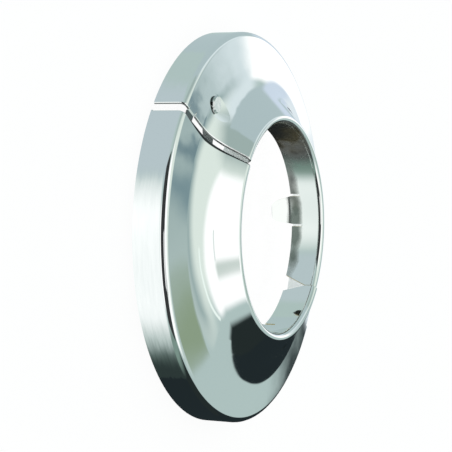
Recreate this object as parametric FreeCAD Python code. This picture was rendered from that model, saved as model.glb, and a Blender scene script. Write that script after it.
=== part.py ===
import FreeCAD, Part
import math
import os

# Split pipe escutcheon: two pressed and plated steel half shells, joined by one
# rivet at the hinge end, with spring tabs in the bore that grip the pipe.
# Z is the pipe's axis and z = 0 the wall. The halves meet on the X axis, with
# the hinge at -X, the upper half at +Y and the lower half at -Y.

os.makedirs("parts", exist_ok=True)

# The sheet and its profile, from the skirt at the wall in to the bore
outside_diameter = 92.0     # over the skirt
bore_diameter = 49.2        # inside the collar, for a 48.3 mm pipe
sheet = 0.5
height = 16.2               # wall to the crest of the rim
skirt_height = 7.5          # wall to the sharp corner of skirt and face
face_angle = 8.5            # slope of the outer face
throat_angle = 43.0         # slope of the inner face, up to the rim
corner_radius = 1.6
throat_radius = 14.0
rim_radius = 1.2
collar_depth = 8.1          # crest of the rim to the rear edge of the collar

# The split between the halves
hinge_gap_skirt = 2.0       # the gap at the hinge end narrows from the skirt to the bore
hinge_gap_bore = 1.2
closing_gap = 0.12
edge_roll = 0.35            # rounding of the sheared edges at the hinge end
over_level = 0.3            # the lower half's face rides over the upper's
collar_trim_upper = 2.6     # how far the collar's ends are cut back at the rear
collar_trim_lower = 1.9

# The hinge: a tongue of the lower half passes under the upper half
rivet_inset = 9.5           # from the skirt's outside
rivet_offset = 8.8          # from the split
seat_radius = 2.4           # flat seat pressed into the upper half
seat_slope = 50.0           # steeper than the throat, so that the seat stays small
shank_diameter = 2.4
rivet_head_diameter = 4.0
rivet_head_height = 0.8
rivet_head_bevel = 0.3
rivet_tail_diameter = 3.4
rivet_tail_height = 0.5
running_clearance = 0.05
tongue_end_radius = 3.3
tongue_root_inset = 3.2     # the tongue's root along the split, from the bore
tongue_root_width = 4.2
tongue_bend_radius = 0.4
boss_radius = 2.2
boss_height = 0.5

# Joggled tabs of the upper half, which lie under the lower half's edge
tab_drop = 0.45
tab_run = 1.2
tab_slit = 0.2
guide_inset = 3.6           # at the hinge end, from the skirt's outside
guide_width = 2.4
guide_reach = 2.8
tuck_inset = 6.5            # at the closing end
tuck_width = 5.0
tuck_reach = 3.6

# Spring tabs in the bore, two in each half
spring_angle = 45.0         # from the split
spring_width = 7.0          # at its root
spring_tip_width = 4.6
spring_length = 5.0         # past the rear edge of the collar
spring_bend = 35.0
spring_bend_radius = 1.2
spring_slit_depth = 2.6
spring_slit_width = 0.6
spring_end_radius = 2.2

# Sizes worked out from the ones above
outer_radius = outside_diameter / 2
bore_radius = bore_diameter / 2
rim_centre = FreeCAD.Vector(bore_radius + rim_radius, 0, height - rim_radius)
collar_rear = height - collar_depth
face_slope = math.tan(math.radians(face_angle))
throat_slope = math.tan(math.radians(throat_angle))
reach_over = 2 * outer_radius     # long enough to cut right through anything here
rivet_radius = outer_radius - rivet_inset
guide_radius = outer_radius - guide_inset
tuck_radius = outer_radius - tuck_inset
tongue_root_inner = bore_radius + tongue_root_inset
tongue_root_outer = tongue_root_inner + tongue_root_width
axis_z = FreeCAD.Vector(0, 0, 1)
origin = FreeCAD.Vector(0, 0, 0)


def hinge_edge(radius):
    """Half the gap at the hinge end, at a distance from the axis."""
    widening = (hinge_gap_skirt - hinge_gap_bore) / 2 / (outer_radius - bore_radius)
    return hinge_gap_bore / 2 + widening * (radius - bore_radius)


def crossing(point_a, slope_a, point_b, slope_b):
    """Where two lines of the profile meet, each given by a point and its rise per radius inwards."""
    radius = (point_b.z - point_a.z + slope_b * point_b.x - slope_a * point_a.x) / (slope_b - slope_a)
    return FreeCAD.Vector(radius, 0, point_a.z + slope_a * (point_a.x - radius))


def sharp_profile(depth):
    """The profile's straight legs without their bends, at a depth under the outer surface."""
    skirt = outer_radius - depth
    face_drop = depth / math.cos(math.radians(face_angle))
    on_face = FreeCAD.Vector(outer_radius, 0, skirt_height - face_drop)
    normal = FreeCAD.Vector(math.sin(math.radians(throat_angle)), 0, math.cos(math.radians(throat_angle)))
    on_throat = rim_centre + normal * (rim_radius - depth)
    wall = bore_radius + depth
    return [
        FreeCAD.Vector(skirt, 0, 0),
        FreeCAD.Vector(skirt, 0, on_face.z + face_slope * (outer_radius - skirt)),
        crossing(on_face, face_slope, on_throat, throat_slope),
        FreeCAD.Vector(wall, 0, on_throat.z + throat_slope * (on_throat.x - wall)),
        FreeCAD.Vector(wall, 0, collar_rear),
    ]


def bend_points(before, corner, after, radius):
    """Start, middle and end of the arc that rounds a corner."""
    to_before = (before - corner).normalize()
    to_after = (after - corner).normalize()
    half = to_before.getAngle(to_after) / 2
    leg = radius / math.tan(half)
    centre = corner + (to_before + to_after).normalize() * (radius / math.sin(half))
    middle = centre + (corner - centre).normalize() * radius
    return corner + to_before * leg, middle, corner + to_after * leg


def profile_edges(depth):
    """The rounded profile at a depth under the outer surface, as edges from skirt to collar."""
    points = sharp_profile(depth)
    radii = [corner_radius - depth, throat_radius + depth, rim_radius - depth]
    edges = []
    start = points[0]
    for index, radius in enumerate(radii):
        arc = bend_points(points[index], points[index + 1], points[index + 2], radius)
        edges.append(Part.LineSegment(start, arc[0]).toShape())
        edges.append(Part.Arc(arc[0], arc[1], arc[2]).toShape())
        start = arc[2]
    edges.append(Part.LineSegment(start, points[-1]).toShape())
    return edges


def line(start, end):
    return Part.LineSegment(start, end).toShape()


def polygon(points):
    return Part.Face(Part.makePolygon(points + [points[0]]))


def box(low, high):
    return Part.makeBox(high[0] - low[0], high[1] - low[1], high[2] - low[2], FreeCAD.Vector(*low))


def half_turn(face, side):
    """Revolve a face over the half of the plate on the side of +Y or -Y."""
    return face.revolve(origin, axis_z, 180.0 * side)


def sheet_face():
    outside = profile_edges(0)
    inside = profile_edges(sheet)
    ends = [line(outside[0].Vertexes[0].Point, inside[0].Vertexes[0].Point),
            line(outside[-1].Vertexes[-1].Point, inside[-1].Vertexes[-1].Point)]
    return Part.Face(Part.Wire(Part.__sortEdges__(outside + inside + ends)))


def space_face(depth):
    """Everything between the axis and the profile at a depth under the outer surface."""
    edges = profile_edges(depth)
    skirt_end = edges[0].Vertexes[0].Point
    collar_end = edges[-1].Vertexes[-1].Point
    collar_foot = FreeCAD.Vector(collar_end.x, 0, 0)
    closing = [line(collar_end, collar_foot), line(collar_foot, skirt_end)]
    return Part.Face(Part.Wire(Part.__sortEdges__(edges + closing)))


def face_height(radius):
    """Height of the outer face on its straight outer slope."""
    return skirt_height + face_slope * (outer_radius - radius)


def spring_tab(angle):
    """One spring tab: a strip that leaves the collar's rear edge and leans towards the pipe."""
    lean = math.radians(spring_bend)
    centre = FreeCAD.Vector(bore_radius - spring_bend_radius, 0, collar_rear)
    inner = spring_bend_radius
    outer = spring_bend_radius + sheet

    def turned(radius, share):
        return centre + FreeCAD.Vector(math.cos(lean * share), 0, -math.sin(lean * share)) * radius

    along = FreeCAD.Vector(-math.sin(lean), 0, -math.cos(lean)) * (spring_length - inner * lean)
    section = Part.Wire([
        Part.Arc(turned(inner, 0), turned(inner, 0.5), turned(inner, 1)).toShape(),
        line(turned(inner, 1), turned(inner, 1) + along),
        line(turned(inner, 1) + along, turned(outer, 1) + along),
        line(turned(outer, 1) + along, turned(outer, 1)),
        Part.Arc(turned(outer, 1), turned(outer, 0.5), turned(outer, 0)).toShape(),
        line(turned(outer, 0), turned(inner, 0)),
    ])
    half_width = spring_width / 2
    half_tip = spring_tip_width / 2
    half_angle = math.degrees(math.asin(half_width / bore_radius)) + 1.0
    strip = Part.Face(section)
    strip.rotate(origin, axis_z, -half_angle)
    strip = strip.revolve(origin, axis_z, 2 * half_angle)
    tip = (turned(outer, 1) + along).z
    blank = polygon([
        FreeCAD.Vector(0, -half_width, height),
        FreeCAD.Vector(0, -half_width, collar_rear),
        FreeCAD.Vector(0, -half_tip, tip),
        FreeCAD.Vector(0, half_tip, tip),
        FreeCAD.Vector(0, half_width, collar_rear),
        FreeCAD.Vector(0, half_width, height),
    ]).extrude(FreeCAD.Vector(reach_over, 0, 0))
    corners = [edge for edge in blank.Edges
               if abs(edge.BoundBox.ZMax - tip) < sheet and edge.BoundBox.XLength > outer_radius]
    blank = blank.makeFillet(spring_end_radius, corners)
    tab = strip.common(blank)
    tab.rotate(origin, axis_z, angle)
    return tab


def spring_slits(angle):
    """The two slits beside a spring tab."""
    slits = []
    for side in (-1, 1):
        start = side * spring_width / 2
        end = start + side * spring_slit_width
        low = (0, min(start, end), 0)
        high = (bore_radius + rim_radius, max(start, end), collar_rear + spring_slit_depth)
        slit = box(low, high)
        slit.rotate(origin, axis_z, angle)
        slits.append(slit)
    return slits


def collar_trim(trim, side):
    """The wedge cut off the collar's end at the closing end, widest at the rear edge."""
    top = height - 2 * rim_radius
    depth = top - collar_rear
    wedge = polygon([
        FreeCAD.Vector(0, 0, top),
        FreeCAD.Vector(0, side * trim * (1 + collar_rear / depth), 0),
        FreeCAD.Vector(0, 0, 0),
    ])
    wedge.translate(FreeCAD.Vector(bore_radius - 2 * sheet, 0, 0))
    return wedge.extrude(FreeCAD.Vector(2 * sheet + rim_radius, 0, 0))


def split():
    """The space between the halves: a wedge at the hinge end and a slit at the closing end."""
    wedge = polygon([
        FreeCAD.Vector(0, -hinge_edge(0), -height),
        FreeCAD.Vector(0, hinge_edge(0), -height),
        FreeCAD.Vector(-reach_over, hinge_edge(reach_over), -height),
        FreeCAD.Vector(-reach_over, -hinge_edge(reach_over), -height),
    ]).extrude(axis_z * (3 * height))
    slit = box((0, -closing_gap / 2, -height), (reach_over, closing_gap / 2, 2 * height))
    return [wedge, slit]


def roll_edge(shell):
    """Round the outer side of the edge at the hinge end, as shearing leaves it."""
    outside = Part.Wire(profile_edges(0))
    rolled = []
    for edge in shell.Edges:
        middle = edge.valueAt((edge.FirstParameter + edge.LastParameter) / 2)
        radius = math.hypot(middle.x, middle.y)
        at_hinge = middle.x < 0 and abs(middle.y) < hinge_edge(radius) + edge_roll
        place = Part.Vertex(FreeCAD.Vector(radius, 0, middle.z))
        if at_hinge and place.distToShape(outside)[0] < sheet / 10:
            rolled.append(edge)
    return shell.makeFillet(edge_roll, rolled)


def half_shell(side, trim):
    """A half of the pressing with its spring tabs, cut back at the split."""
    shell = roll_edge(half_turn(sheet_face(), side).cut(split()))
    angles = [side * spring_angle, side * (180 - spring_angle)]
    for angle in angles:
        shell = shell.fuse(spring_tab(angle))
    for angle in angles:
        shell = shell.cut(spring_slits(angle))
    return shell.cut(collar_trim(trim, side))


# The hinge's levels, from the upper half's seat down to the rivet's tail
pivot = FreeCAD.Vector(-math.sqrt(rivet_radius ** 2 - rivet_offset ** 2), rivet_offset, 0)
seat_top = face_height(rivet_radius + seat_radius)
boss_top = seat_top - sheet - running_clearance
tongue_top = boss_top - boss_height
tongue_bottom = tongue_top - sheet
tail_top = tongue_bottom + boss_height - running_clearance
tongue_wall = -hinge_edge(tongue_root_inner + tongue_root_width / 2)


def cylinder(radius, low, high):
    return Part.makeCylinder(radius, high - low, FreeCAD.Vector(pivot.x, pivot.y, low))


def cone(low_radius, low, slope, high):
    """A cone about the pivot that opens upwards."""
    high_radius = low_radius + (high - low) / math.tan(math.radians(slope))
    return Part.makeCone(low_radius, high_radius, high - low, FreeCAD.Vector(pivot.x, pivot.y, low))


def press_seat(shell):
    """Press the rivet's flat seat into the upper half's face."""
    wall = sheet * math.tan(math.radians(seat_slope / 2))
    pocket = cone(seat_radius, seat_top, seat_slope, height)
    floor = seat_top - sheet
    outside = cone(seat_radius + sheet - wall, floor, seat_slope, height)
    under_face = half_turn(space_face(0), 1)
    cup = outside.cut(pocket).common(under_face)
    shell = shell.cut(outside).fuse(cup)
    return shell.cut(cylinder(shank_diameter / 2 + running_clearance, 0, height))


def joggled_tab(shell, radius, width, edge, reach, end):
    """Bend a tab of the upper half down and under the lower half's edge.

    The end is -1 at the hinge and 1 at the closing end.
    """
    slope = FreeCAD.Vector(math.cos(math.radians(face_angle)), 0, -math.sin(math.radians(face_angle)))
    top = FreeCAD.Vector(radius, 0, face_height(radius))
    normal = FreeCAD.Vector(-slope.z, 0, slope.x)

    def at(across, level):
        return top - slope * (width / 2) + FreeCAD.Vector(0, across, 0) + normal * level

    strip = polygon([
        at(edge + 2 * tab_run, 0),
        at(edge + tab_run, 0),
        at(edge, -tab_drop),
        at(edge - reach, -tab_drop),
        at(edge - reach, -tab_drop - sheet),
        at(edge, -tab_drop - sheet),
        at(edge + tab_run, -sheet),
        at(edge + 2 * tab_run, -sheet),
    ]).extrude(slope * width)
    slot = polygon([
        at(0, 2 * sheet) - slope * tab_slit,
        at(edge + tab_run, 2 * sheet) - slope * tab_slit,
        at(edge + tab_run, -2 * sheet) - slope * tab_slit,
        at(0, -2 * sheet) - slope * tab_slit,
    ]).extrude(slope * (width + 2 * tab_slit))
    if end < 0:
        strip = strip.mirror(origin, FreeCAD.Vector(1, 0, 0))
        slot = slot.mirror(origin, FreeCAD.Vector(1, 0, 0))
    return shell.cut(slot).fuse(strip)


def build_upper_half():
    shell = half_shell(1, collar_trim_upper)
    shell = press_seat(shell)
    shell = joggled_tab(shell, guide_radius, guide_width, hinge_edge(guide_radius), guide_reach, -1)
    return joggled_tab(shell, tuck_radius, tuck_width, closing_gap / 2, tuck_reach, 1)


def tongue():
    """The hinge tongue: it drops from the lower half's edge and runs flat to the rivet."""
    outer_bend = tongue_bend_radius + sheet
    wall = tongue_wall
    centre = FreeCAD.Vector(0, wall + tongue_bend_radius, tongue_top + tongue_bend_radius)
    diagonal = FreeCAD.Vector(0, -1, -1).normalize()
    far = rivet_offset + 2 * tongue_end_radius

    def at(across, level):
        return FreeCAD.Vector(0, across, level)

    section = Part.Wire([
        line(at(wall, height), at(wall, centre.z)),
        Part.Arc(at(wall, centre.z), centre + diagonal * tongue_bend_radius, at(centre.y, tongue_top)).toShape(),
        line(at(centre.y, tongue_top), at(far, tongue_top)),
        line(at(far, tongue_top), at(far, tongue_bottom)),
        line(at(far, tongue_bottom), at(centre.y, tongue_bottom)),
        Part.Arc(at(centre.y, tongue_bottom), centre + diagonal * outer_bend, at(wall - sheet, centre.z)).toShape(),
        line(at(wall - sheet, centre.z), at(wall - sheet, height)),
        line(at(wall - sheet, height), at(wall, height)),
    ])
    strip = Part.Face(section)
    strip.translate(FreeCAD.Vector(-outer_radius, 0, 0))
    strip = strip.extrude(FreeCAD.Vector(outer_radius, 0, 0))
    return strip.common(tongue_outline())


def tongue_outline():
    """The tongue seen from the front: straight at its root and tapered to a round end."""
    root_y = tongue_wall + tongue_bend_radius
    low = FreeCAD.Vector(-tongue_root_outer, root_y, 0)
    high = FreeCAD.Vector(-tongue_root_inner, root_y, 0)
    points = [low, tangent_point(low, 1), tangent_point(high, -1), high]
    taper = polygon(points).extrude(axis_z * height)
    root = box((low.x, tongue_wall - sheet, 0), (high.x, root_y, height))
    return root.fuse(taper).fuse(cylinder(tongue_end_radius, 0, height)).removeSplitter()


def tangent_point(start, side):
    """Where a line from a point of the root touches the tongue's round end."""
    centre = FreeCAD.Vector(pivot.x, pivot.y, 0)
    to_start = start - centre
    turn = math.acos(tongue_end_radius / to_start.Length)
    direction = math.atan2(to_start.y, to_start.x) - side * turn
    return centre + FreeCAD.Vector(math.cos(direction), math.sin(direction), 0) * tongue_end_radius


def build_lower_half():
    shell = half_shell(-1, collar_trim_lower)
    shell.translate(axis_z * over_level)
    foot = Part.makeCylinder(outer_radius, over_level).cut(Part.makeCylinder(outer_radius - sheet, over_level))
    foot = foot.common(box((-reach_over, -reach_over, 0), (reach_over, 0, height))).cut(split())
    shell = shell.fuse(foot)
    under_face = half_turn(space_face(sheet / 2), -1)
    under_face.translate(axis_z * over_level)
    under_edge = box((-reach_over, -reach_over, -height), (reach_over, 0, tongue_top + height))
    hinge = tongue()
    lug = hinge.common(under_edge).common(under_face).fuse(hinge.cut(under_edge))
    shell = shell.fuse(lug)
    lift = boss_top - boss_height
    hollow = cylinder(boss_radius - sheet / 2, 0, tail_top + running_clearance)
    boss = cylinder(boss_radius, lift, boss_top)
    shell = shell.fuse(boss).cut(hollow)
    return shell.cut(cylinder(shank_diameter / 2 + running_clearance, 0, height))


def build_rivet():
    head = cylinder(rivet_head_diameter / 2, seat_top, seat_top + rivet_head_height)
    top_edge = [edge for edge in head.Edges if edge.BoundBox.ZMin > seat_top + rivet_head_height / 2]
    head = head.makeChamfer(rivet_head_bevel, top_edge)
    shank = cylinder(shank_diameter / 2, tail_top, seat_top)
    tail = cylinder(rivet_tail_diameter / 2, tail_top - rivet_tail_height, tail_top)
    return head.fuse(shank).fuse(tail)


parts = {
    "upper_half": build_upper_half(),
    "lower_half": build_lower_half(),
    "hinge_rivet": build_rivet(),
}
for name, shape in parts.items():
    solid = shape.removeSplitter()
    if len(solid.Solids) != 1 or not solid.isValid():
        raise RuntimeError("%s is not one valid solid" % name)
    solid.Solids[0].exportStep("parts/%s.step" % name)
    print(name, round(solid.Volume, 1), "mm3")
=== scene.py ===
import math

import bpy
from mathutils import Matrix, Vector

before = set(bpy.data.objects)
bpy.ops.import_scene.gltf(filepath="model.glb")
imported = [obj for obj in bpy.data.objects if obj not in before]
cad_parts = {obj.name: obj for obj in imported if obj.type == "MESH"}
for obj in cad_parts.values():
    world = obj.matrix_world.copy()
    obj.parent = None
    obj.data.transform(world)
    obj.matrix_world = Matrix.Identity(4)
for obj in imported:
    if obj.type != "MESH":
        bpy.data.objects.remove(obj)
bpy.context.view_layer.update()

# The photo's own axes: x right, y up in the picture's plane, z along the pipe.
# The plate lies on its back here, so they are turned about the pipe by this much.
photoTurn = Matrix.Rotation(math.radians(38.0), 3, 'Z')


# camera
photoCamera = {
    'distance': 0.4,
    'pitch': 3.54,
    'yaw': 65.64,
    'lens': 133.68,
    # the camera stands this far right of the pipe's axis and above it, in its own view
    'right': 0.00106,
    'up': 0.00014,
}


def addCamera():
    pitch = Matrix.Rotation(math.radians(photoCamera['pitch']), 3, 'X')
    yaw = Matrix.Rotation(math.radians(photoCamera['yaw']), 3, 'Y')
    aim = photoTurn @ (pitch @ yaw).transposed()
    place = aim @ Vector((photoCamera['right'], photoCamera['up'], photoCamera['distance']))
    bpy.ops.object.camera_add(location=place, rotation=aim.to_euler())
    camera = bpy.context.object
    camera.name = 'photoCamera'
    camera.data.lens = photoCamera['lens']
    camera.data.clip_start = 0.01
    bpy.context.scene.camera = camera


# nodes
# a socket takes another node's output, a colour or a plain value
def feed(tree, socket, value):
    if isinstance(value, bpy.types.NodeSocket):
        tree.links.new(value, socket)
    elif socket.type == 'RGBA':
        socket.default_value = (*value, 1)
    else:
        socket.default_value = value


def newNode(tree, kind, **inputs):
    node = tree.nodes.new(kind)
    for name, value in inputs.items():
        feed(tree, node.inputs[name], value)
    return node


def calc(tree, operation, *values):
    node = tree.nodes.new('ShaderNodeMath')
    node.operation = operation
    for socket, value in zip(node.inputs, values):
        feed(tree, socket, value)
    return node.outputs[0]


def vectorCalc(tree, operation, *values):
    node = tree.nodes.new('ShaderNodeVectorMath')
    node.operation = operation
    sockets = (node.inputs[0], node.inputs['Scale']) if operation == 'SCALE' else node.inputs
    for socket, value in zip(sockets, values):
        feed(tree, socket, value)
    return node.outputs['Value' if operation in ('DOT_PRODUCT', 'LENGTH') else 'Vector']


def both(tree, first, second):
    return calc(tree, 'MULTIPLY', first, second)


def without(tree, mask, other):
    return calc(tree, 'MULTIPLY', mask, calc(tree, 'SUBTRACT', 1.0, other))


def ramp(tree, value, start, end, low=0.0, high=1.0, shape='LINEAR'):
    node = tree.nodes.new('ShaderNodeMapRange')
    node.interpolation_type = shape
    entries = {'Value': value, 'From Min': start, 'From Max': end, 'To Min': low, 'To Max': high}
    for name, entry in entries.items():
        feed(tree, node.inputs[name], entry)
    return node.outputs['Result']


def mix(tree, kind, factor, below, above):
    node = tree.nodes.new('ShaderNodeMix')
    node.data_type = kind
    for name, entry in (('Factor', factor), ('A', below), ('B', above)):
        feed(tree, node.inputs[name], entry)
    return node.outputs['Result']


def mixColour(tree, factor, below, above):
    return mix(tree, 'RGBA', factor, below, above)


def noise(tree, place, scale, detail=2.0):
    return newNode(tree, 'ShaderNodeTexNoise', Vector=place, Scale=scale, Detail=detail)


def ripple(tree, place, scale, height, detail=2.0):
    # a small push of the slope to any side
    wave = vectorCalc(tree, 'SUBTRACT', noise(tree, place, scale, detail).outputs['Color'], (0.5, 0.5, 0.5))
    return vectorCalc(tree, 'SCALE', wave, height)


def newMaterial(name):
    material = bpy.data.materials.new(name)
    material.use_nodes = True
    return material, material.node_tree


# studio
studio = {
    # the room's colour below and above, and how far up it turns from one to the other
    'low': (0.029, 0.044, 0.042),
    'high': (0.48, 0.60, 0.585),
    'turnsAt': (-0.89, -0.80),
    # name: azimuth and elevation seen from the plate, roll, half width, half height, softness, colour
    'cards': {
        'greyAbove': (25, 38, 1, 0.90, 0.40, 0.40, (0.38, 0.48, 0.46)),
        'paleOver': (54, 24, 0, 0.30, 0.34, 0.20, (0.77, 0.87, 0.90)),
        'paleGreen': (12, 4, -15, 0.70, 0.56, 0.45, (0.81, 0.90, 0.84)),
        'whiteFront': (-15, -8, 12, 0.34, 0.76, 0.20, (1.20, 1.20, 1.20)),
        'greyRight': (42.5, -3, -31, 0.10, 0.46, 0.35, (0.30, 0.41, 0.41)),
        'greyOver': (87, 46, -45, 0.79, 0.47, 0.06, (0.47, 0.58, 0.60)),
        'whiteRight': (79, 6, -12, 0.24, 0.16, 0.10, (1.25, 1.25, 1.25)),
        'lavender': (90, 13, 0, 0.16, 0.15, 0.10, (0.66, 0.76, 0.88)),
        'blackFlag': (111, -40, 53, 0.85, 0.82, 0.05, (0.016, 0.024, 0.027)),
        'blackTable': (25, -73, 26, 0.685, 0.44, 0.10, (0.019, 0.027, 0.027)),
        'whiteLeft': (-137, -13, -15, 0.45, 0.76, 0.80, (1.30, 1.30, 1.30)),
        'whiteLow': (-86, -15, -6, 0.33, 0.54, 0.26, (1.27, 1.27, 1.27)),
        'darkLow': (-70, -66, 23, 0.64, 0.22, 0.36, (0.22, 0.32, 0.28)),
        'oliveRing': (50.8, -10.8, -10, 0.085, 0.070, 0.035, (0.37, 0.47, 0.41)),
        'olive': (51, -11, -10, 0.050, 0.048, 0.07, (0.285, 0.375, 0.26)),
        'paleLine': (16.2, -22, 2, 0.022, 0.27, 0.025, (0.98, 1.08, 1.03)),
        'paleFar': (107, -1, 3, 0.43, 0.16, 0.045, (0.80, 0.88, 0.93)),
        'greyFar': (-111, 57, -2, 0.57, 0.54, 0.26, (0.53, 0.625, 0.66)),
        'darkSlot': (-60, -8, 0, 0.56, 1.10, 0.10, (0.040, 0.043, 0.044)),
        'tabLight': (-41, -14.5, 0, 0.085, 0.23, 0.04, (1.15, 1.15, 1.15)),
        'blueStreak': (47.4, 0, 0, 0.020, 0.040, 0.05, (0.20, 0.30, 0.33)),
        'blueSpot': (49.1, 3.1, 0, 0.018, 0.010, 0.016, (0.18, 0.27, 0.30)),
        'blueEdge': (51, 6.8, 0, 0.04, 0.016, 0.022, (0.22, 0.31, 0.34)),
        'greyGhost': (-18.5, -23.5, 0, 0.08, 0.085, 0.11, (0.64, 0.72, 0.68)),
        'ghostEdge': (-15.3, -9, 3, 0.016, 0.15, 0.025, (0.70, 0.78, 0.76)),
        'flagCorner': (50.2, -26.8, 42.7, 0.36, 0.115, 0.035, (0.48, 0.60, 0.585)),
    },
}


def cardTurn(azimuth, elevation, roll):
    # brings a direction into the card's own axes: across, up and towards it
    turn = Matrix.Rotation(math.radians(-roll), 3, 'Z')
    turn = turn @ Matrix.Rotation(math.radians(elevation), 3, 'X')
    turn = turn @ Matrix.Rotation(math.radians(-azimuth), 3, 'Y')
    return turn @ photoTurn.transposed()


def addCard(tree, direction, behind, card):
    azimuth, elevation, roll, halfWidth, halfHeight, softness, colour = card
    axes = cardTurn(azimuth, elevation, roll)
    across, upright, towards = (vectorCalc(tree, 'DOT_PRODUCT', direction, axis) for axis in axes)
    share = calc(tree, 'GREATER_THAN', towards, 0.0)
    for offset, half in ((across, halfWidth), (upright, halfHeight)):
        apart = calc(tree, 'ABSOLUTE', calc(tree, 'DIVIDE', offset, towards))
        edge = ramp(tree, apart, half - softness / 2, half + softness / 2, 1.0, 0.0, 'SMOOTHSTEP')
        share = both(tree, share, edge)
    return mixColour(tree, share, behind, colour)


def addStudio():
    world = bpy.data.worlds.new('studio')
    bpy.context.scene.world = world
    world.use_nodes = True
    tree = world.node_tree
    tree.nodes.clear()
    direction = vectorCalc(tree, 'NORMALIZE', tree.nodes.new('ShaderNodeTexCoord').outputs['Generated'])
    upwards = vectorCalc(tree, 'DOT_PRODUCT', direction, photoTurn @ Vector((0, 1, 0)))
    rise = ramp(tree, upwards, *studio['turnsAt'], 0.0, 1.0, 'SMOOTHSTEP')
    colour = mixColour(tree, rise, studio['low'], studio['high'])
    for card in studio['cards'].values():
        colour = addCard(tree, direction, colour, card)
    # the camera sees plain white behind the plate
    seen = tree.nodes.new('ShaderNodeLightPath').outputs['Is Camera Ray']
    background = newNode(tree, 'ShaderNodeBackground', Color=mixColour(tree, seen, colour, (1, 1, 1)))
    newNode(tree, 'ShaderNodeOutputWorld', Surface=background.outputs['Background'])


floorFinish = {
    'size': 6,
    'diffuse': (0.95, 0.95, 0.95),
    # its own glow, for the light that it gives and as the camera sees it
    'glow': (0.9, 0.9, 0.9),
    'seenGlow': (1.07, 1.07, 1.07),
    'glowShare': 0.85,
}


def addFloor():
    bpy.ops.mesh.primitive_plane_add(size=floorFinish['size'])
    floor = bpy.context.object
    floor.name = 'floor'
    floor.visible_glossy = False
    material, tree = newMaterial('paleFloor')
    tree.nodes.clear()
    diffuse = newNode(tree, 'ShaderNodeBsdfDiffuse', Color=floorFinish['diffuse'])
    seen = tree.nodes.new('ShaderNodeLightPath').outputs['Is Camera Ray']
    colour = mixColour(tree, seen, floorFinish['glow'], floorFinish['seenGlow'])
    glow = newNode(tree, 'ShaderNodeEmission', Color=colour)
    mixed = newNode(tree, 'ShaderNodeMixShader', Fac=floorFinish['glowShare'])
    tree.links.new(diffuse.outputs[0], mixed.inputs[1])
    tree.links.new(glow.outputs[0], mixed.inputs[2])
    newNode(tree, 'ShaderNodeOutputMaterial', Surface=mixed.outputs[0])
    floor.data.materials.append(material)


# finishes
# lengths in millimetres, as in the part's source
profile = {
    # the collar's inside, the radius that it and the tabs keep within, and its rear edge
    'boreRadius': 24.6,
    'collarRadius': 25.4,
    'collarRear': 8.9,
    # the throat's bend: radius from and to, and how far the slope leans outwards at each
    'throat': (30.439, 37.917, 0.682, 0.1478),
    # the bends at the skirt and the rim: where each begins, and its centre's radius and height
    'bends': {
        'corner': ('GREATER_THAN', 44.636, 44.4, 6.121),
        'rim': ('LESS_THAN', 26.618, 25.8, 15.0),
    },
    # middle of the face and about half its width
    'middleRadius': 35.0,
    'faceReach': 11.0,
    'lowerLift': 0.3,
    # half the split's width at the bore, and how much it grows outwards
    'gapBore': 0.6,
    'gapSlope': 0.0187,
    'pivot': (-35.423, 8.8, 0.0),
    # the rivet's pressed seat: its radius, and the width of its edge
    'seatRadius': 4.6,
    'seatEdge': 0.4,
}
plate = {
    'chrome': (0.86, 0.88, 0.875),
    'collarTint': (0.84, 0.87, 0.845),
    'inside': (0.95, 0.97, 0.96),
    # painted shade on what lies under the other half
    'shadedUnder': (0.16, 0.18, 0.18),
    'edge': (0.50, 0.51, 0.50),
    # painted warm reflection on the collar's cut ends at the closing side
    'warmLitEdge': (0.78, 0.72, 0.50),
    # painted shade along the lower half's split
    'paintedShadeEdge': (0.030, 0.034, 0.036),
    # chrome from its brightest to its most worn, the noise behind that, and where it steps
    'roughness': (0.030, 0.075),
    'wear': (90.0, 6.0),
    'wearSteps': (0.35, 0.70),
    # what is rougher than the chrome, and what is less metallic
    'rougher': {'dull': 0.42, 'paintedCollarShade': 0.30, 'edge': 0.35, 'shadedUnder': 0.25},
    'lessMetal': {'dull': 0.65, 'paintedCollarShade': 0.75},
    # scale and height of a slow swell and a fine grain
    'swell': (48.0, 0.055),
    'grain': (420.0, 0.004),
    # the same round the rivet, and how far from the pivot it fades
    'worked': (150.0, 0.10),
    'workedReach': (6.0, 24.0),
    'seatSoftness': 0.86,
    # drawing lines on the skirt: scale round it and along the pipe, detail and height
    'drawn': (7.0, 1.5, 5.0, 0.06),
    # radius over which the collar's own tint sets in
    'collarFade': (25.3, 24.8),
    # how far a surface leans where the bright side, the sheared edge and the skirt begin
    'brightStep': (-0.02, 0.02),
    'edgeStep': (0.75, 0.85),
    'skirtStep': (0.90, 0.98),
    # measured into the half from the split: less lies under the other half, or on the turned edge
    'hiddenBelow': -0.03,
    'turnedWithin': 0.42,
    # the painted shade band's soft edge, and the height above which it shows
    'bandEdge': (-0.08, 0.04),
    'bandAbove': 7.0,
}
# patches of painted dark reflection and shade inside the collar
collarShadePatches = {
    # angle round the pipe, height, how far each reaches round and along it, and strength
    'top': (106.0, 11.8, 30.0, 12.0, 0.97),
    'rear': (37.0, 8.9, 38.0, 1.9, 0.84),
    'tabRoot': (46.0, 9.0, 8.5, 1.6, 0.90),
    'farRear': (-70.0, 8.2, 34.0, 1.8, 0.45),
}
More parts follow.
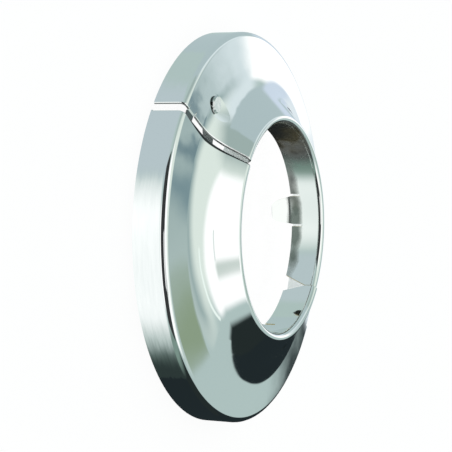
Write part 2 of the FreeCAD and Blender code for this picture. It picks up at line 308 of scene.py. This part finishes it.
# colours of the painted dark reflection and shade inside the collar
shadePaint = {
    'black': (0.008, 0.009, 0.007),
    'brown': (0.090, 0.073, 0.030),
    'grey': (0.085, 0.130, 0.102),
    # scale and detail of the outline's wander, and how strong it is
    'outline': (260.0, 4.0),
    'wander': 1.5,
    'fade': (0.20, 1.20),
    # scale and detail of the black and brown patches, and where they meet
    'patches': (130.0, 3.0),
    'patchSteps': (0.42, 0.60),
    # grey below the first y, black and brown above the second
    'greyUpTo': (17.0, 22.0),
}
paintedShadeBand = {
    # radius: width of the band of painted shade along the lower half's edge
    46.0: 0.0,
    44.5: 0.30,
    40.0: 0.75,
    36.0: 0.95,
    30.0: 0.55,
    24.6: 0.25,
}


def combine(tree, **parts):
    return newNode(tree, 'ShaderNodeCombineXYZ', **parts).outputs['Vector']


def surfacePlace(tree):
    # where a point lies and how its surface leans, in the plate's own axes
    coordinates = tree.nodes.new('ShaderNodeTexCoord').outputs
    normal = coordinates['Normal']
    place = vectorCalc(tree, 'SCALE', coordinates['Object'], 1000.0)  # in millimetres
    flat = vectorCalc(tree, 'MULTIPLY', place, (1.0, 1.0, 0.0))
    outwards = vectorCalc(tree, 'NORMALIZE', flat)
    around = vectorCalc(tree, 'CROSS_PRODUCT', (0.0, 0.0, 1.0), outwards)
    axes = newNode(tree, 'ShaderNodeSeparateXYZ', Vector=place).outputs
    return {
        'object': coordinates['Object'],
        'x': axes['X'],
        'y': axes['Y'],
        'z': axes['Z'],
        'radius': vectorCalc(tree, 'LENGTH', flat),
        'angle': calc(tree, 'ARCTAN2', axes['Y'], axes['X']),
        'toPivot': vectorCalc(tree, 'LENGTH', vectorCalc(tree, 'SUBTRACT', flat, profile['pivot'])),
        'outwards': outwards,
        'normal': normal,
        'leansOut': vectorCalc(tree, 'DOT_PRODUCT', normal, outwards),
        'leansUp': vectorCalc(tree, 'DOT_PRODUCT', normal, (0.0, 0.0, 1.0)),
        'leansAround': calc(tree, 'ABSOLUTE', vectorCalc(tree, 'DOT_PRODUCT', normal, around)),
    }


def trueSlope(tree, at, lift):
    # the pressing's exact slope, which the facets only come near
    leans = ramp(tree, at['radius'], *profile['throat'])
    rises = calc(tree, 'SQRT', calc(tree, 'SUBTRACT', 1.0, calc(tree, 'MULTIPLY', leans, leans)))
    slope = combine(tree, X=leans, Z=rises)
    for comparison, limit, centreRadius, centreHeight in profile['bends'].values():
        across = calc(tree, 'SUBTRACT', at['radius'], centreRadius)
        above = calc(tree, 'MAXIMUM', calc(tree, 'SUBTRACT', at['z'], centreHeight + lift), 0.0)
        bent = calc(tree, comparison, at['radius'], limit)
        slope = mix(tree, 'VECTOR', bent, slope, combine(tree, X=across, Z=above))
    parts = newNode(tree, 'ShaderNodeSeparateXYZ', Vector=vectorCalc(tree, 'NORMALIZE', slope)).outputs
    level = vectorCalc(tree, 'SCALE', at['outwards'], parts['X'])
    return vectorCalc(tree, 'ADD', level, combine(tree, Z=parts['Z']))


def paintedShadeMask(tree, at):
    # soft patches of painted dark reflection and shade inside the collar
    angle = calc(tree, 'MULTIPLY', at['angle'], math.degrees(1.0))
    outline = noise(tree, at['object'], *shadePaint['outline']).outputs['Fac']
    wander = calc(tree, 'MULTIPLY_ADD', outline, shadePaint['wander'], -0.5 * shadePaint['wander'])
    total = 0.0
    for middle, height, reach, depth, strength in collarShadePatches.values():
        across = calc(tree, 'DIVIDE', calc(tree, 'SUBTRACT', angle, middle), reach)
        down = calc(tree, 'DIVIDE', calc(tree, 'SUBTRACT', at['z'], height), depth)
        away = calc(tree, 'MULTIPLY_ADD', across, across, calc(tree, 'MULTIPLY', down, down))
        away = calc(tree, 'ADD', away, wander)
        total = calc(tree, 'MAXIMUM', ramp(tree, away, *shadePaint['fade'], strength, 0.0), total)
    return total


def plateMasks(tree, at, lower):
    # the bright side looks up, outwards at the skirt and inwards at the collar
    fromMiddle = calc(tree, 'SUBTRACT', at['radius'], profile['middleRadius'])
    fromMiddle = calc(tree, 'DIVIDE', fromMiddle, profile['faceReach'])
    facing = calc(tree, 'MULTIPLY_ADD', at['leansOut'], fromMiddle, at['leansUp'])
    bright = ramp(tree, facing, *plate['brightStep'])
    edge = ramp(tree, at['leansAround'], *plate['edgeStep'])
    atCollar = calc(tree, 'LESS_THAN', at['radius'], profile['collarRadius'])
    onTab = both(tree, atCollar, calc(tree, 'LESS_THAN', at['z'], profile['collarRear']))

    # how far inside its own half a point lies, measured from the split
    fromBore = calc(tree, 'SUBTRACT', at['radius'], profile['boreRadius'])
    halfGap = calc(tree, 'MULTIPLY_ADD', fromBore, profile['gapSlope'], profile['gapBore'])
    inside = calc(tree, 'SUBTRACT', calc(tree, 'MULTIPLY', at['y'], -1.0 if lower else 1.0), halfGap)
    atHinge = calc(tree, 'LESS_THAN', at['x'], 0.0)
    # where painted shade goes, under the other half
    shadedUnder = both(tree, calc(tree, 'LESS_THAN', inside, plate['hiddenBelow']), atHinge)
    turned = both(tree, calc(tree, 'LESS_THAN', inside, plate['turnedWithin']), atHinge)

    smooth = bright
    for mask in (edge, onTab, shadedUnder, turned):
        smooth = without(tree, smooth, mask)
    if not lower:
        seatEnd = profile['seatRadius'] + profile['seatEdge']
        pressed = ramp(tree, at['toPivot'], profile['seatRadius'], seatEnd, plate['seatSoftness'], 1.0)
        smooth = both(tree, smooth, pressed)

    inCollar = both(tree, bright, ramp(tree, at['radius'], *plate['collarFade']))
    return {
        'dull': calc(tree, 'SUBTRACT', 1.0, bright),
        'inCollar': inCollar,
        'paintedCollarShade': both(tree, inCollar, paintedShadeMask(tree, at)),
        'edge': edge,
        'atCollar': atCollar,
        'inside': inside,
        'atHinge': atHinge,
        'shadedUnder': shadedUnder,
        'smooth': smooth,
    }


def bandWidth(tree, radius):
    stops = sorted(paintedShadeBand.items())
    width = stops[0][1]
    for (start, low), (end, high) in zip(stops, stops[1:]):
        width = calc(tree, 'ADD', width, ramp(tree, radius, start, end, 0.0, high - low))
    return width


def plateSlope(tree, at, smooth, lower):
    # the exact form, with the unevenness that the press leaves
    exact = trueSlope(tree, at, profile['lowerLift'] if lower else 0.0)
    slope = mix(tree, 'VECTOR', smooth, at['normal'], exact)
    workedScale, workedHeight = plate['worked']
    worked = ramp(tree, at['toPivot'], *plate['workedReach'], workedHeight, 0.0)
    for scale, height in (plate['swell'], plate['grain'], (workedScale, worked)):
        slope = vectorCalc(tree, 'ADD', slope, ripple(tree, at['object'], scale, height))
    scaleRound, scaleAlong, detail, height = plate['drawn']
    drawnRound = calc(tree, 'MULTIPLY', at['angle'], scaleRound)
    drawnAlong = calc(tree, 'MULTIPLY', at['z'], scaleAlong)
    onSkirt = ramp(tree, at['leansOut'], *plate['skirtStep'], 0.0, height)
    drawn = ripple(tree, combine(tree, X=drawnRound, Y=drawnAlong), 1.0, onSkirt, detail)
    toWorld = newNode(tree, 'ShaderNodeVectorTransform', Vector=vectorCalc(tree, 'ADD', slope, drawn))
    toWorld.vector_type = 'NORMAL'
    toWorld.convert_from = 'OBJECT'
    toWorld.convert_to = 'WORLD'
    return vectorCalc(tree, 'NORMALIZE', toWorld.outputs['Vector'])


def paintedShadeTint(tree, at):
    patches = noise(tree, at['object'], *shadePaint['patches']).outputs['Fac']
    tint = mixColour(tree, ramp(tree, patches, *shadePaint['patchSteps']), shadePaint['black'], shadePaint['brown'])
    return mixColour(tree, ramp(tree, at['y'], *shadePaint['greyUpTo']), shadePaint['grey'], tint)


def plateColour(tree, at, masks, lower):
    colour = mixColour(tree, masks['inCollar'], plate['chrome'], plate['collarTint'])
    # painted dark reflection and shade inside the collar
    colour = mixColour(tree, masks['paintedCollarShade'], colour, paintedShadeTint(tree, at))
    if lower:
        # a band of painted shade beside the split, where the sheared edge is turned down
        band = calc(tree, 'SUBTRACT', bandWidth(tree, at['radius']), masks['inside'])
        dark = both(tree, ramp(tree, band, *plate['bandEdge']), masks['atHinge'])
        dark = both(tree, dark, calc(tree, 'GREATER_THAN', at['z'], plate['bandAbove']))
        colour = mixColour(tree, dark, colour, plate['paintedShadeEdge'])
    colour = mixColour(tree, masks['dull'], colour, plate['inside'])
    # painted warm reflection on the collar's cut ends at the closing side
    warmLit = both(tree, calc(tree, 'GREATER_THAN', at['x'], 0.0), masks['atCollar'])
    sheared = mixColour(tree, warmLit, plate['edge'], plate['warmLitEdge'])
    colour = mixColour(tree, masks['edge'], colour, sheared)
    # painted shade under the other half
    return mixColour(tree, masks['shadedUnder'], colour, plate['shadedUnder'])


def chromePlate(name, lower):
    material, tree = newMaterial(name)
    shader = tree.nodes['Principled BSDF']
    at = surfacePlace(tree)
    masks = plateMasks(tree, at, lower)
    tree.links.new(plateSlope(tree, at, masks['smooth'], lower), shader.inputs['Normal'])
    tree.links.new(plateColour(tree, at, masks, lower), shader.inputs['Base Color'])

    wear = noise(tree, at['object'], *plate['wear']).outputs['Fac']
    rough = ramp(tree, wear, *plate['wearSteps'], *plate['roughness'])
    for part, roughness in plate['rougher'].items():
        rough = calc(tree, 'MAXIMUM', rough, calc(tree, 'MULTIPLY', masks[part], roughness))
    tree.links.new(rough, shader.inputs['Roughness'])
    metal = 1.0
    for part, loss in plate['lessMetal'].items():
        metal = calc(tree, 'MULTIPLY_ADD', masks[part], -loss, metal)
    tree.links.new(metal, shader.inputs['Metallic'])
    return material


rivet = {
    'duller': (0.60, 0.65, 0.63),
    'brighter': (0.84, 0.87, 0.86),
    # painted shade: the head's side is darker than its top
    'side': (0.42, 0.45, 0.44),
    'shade': (0.05, 0.055, 0.055),
    # the head's foot is painted dark up to here, as painted shade where it meets the plate
    'shadeHeights': (8.74, 8.98),
    'topStep': (0.6, 0.8),
    'wear': (700.0, 4.0),
    'wearSteps': (0.3, 0.7),
    'roughness': (0.10, 0.22),
    'dents': 500.0,
    'dentDepth': 0.00003,
}


def rivetFinish():
    material, tree = newMaterial('platedRivet')
    shader = tree.nodes['Principled BSDF']
    at = surfacePlace(tree)
    wear = noise(tree, at['object'], *rivet['wear']).outputs['Fac']
    top = mixColour(tree, wear, rivet['duller'], rivet['brighter'])
    # painted shade: the side darker than the top, and darkest at the foot
    side = mixColour(tree, ramp(tree, at['z'], *rivet['shadeHeights']), rivet['shade'], rivet['side'])
    colour = mixColour(tree, ramp(tree, at['leansUp'], *rivet['topStep']), side, top)
    tree.links.new(colour, shader.inputs['Base Color'])
    tree.links.new(ramp(tree, wear, *rivet['wearSteps'], *rivet['roughness']), shader.inputs['Roughness'])
    dents = noise(tree, at['object'], rivet['dents']).outputs['Fac']
    relief = newNode(tree, 'ShaderNodeBump', Distance=rivet['dentDepth'], Height=dents)
    tree.links.new(relief.outputs['Normal'], shader.inputs['Normal'])
    shader.inputs['Metallic'].default_value = 1
    return material


addCamera()
print('camera placed')
addStudio()
addFloor()
print('studio set')
finishes = {
    'upper_half': chromePlate('upperChrome', False),
    'lower_half': chromePlate('lowerChrome', True),
    'hinge_rivet': rivetFinish(),
}
for name, material in finishes.items():
    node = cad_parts[name]
    node.data.materials.clear()
    node.data.materials.append(material)
print('finishes given')

bpy.context.scene.view_settings.view_transform = 'Standard'
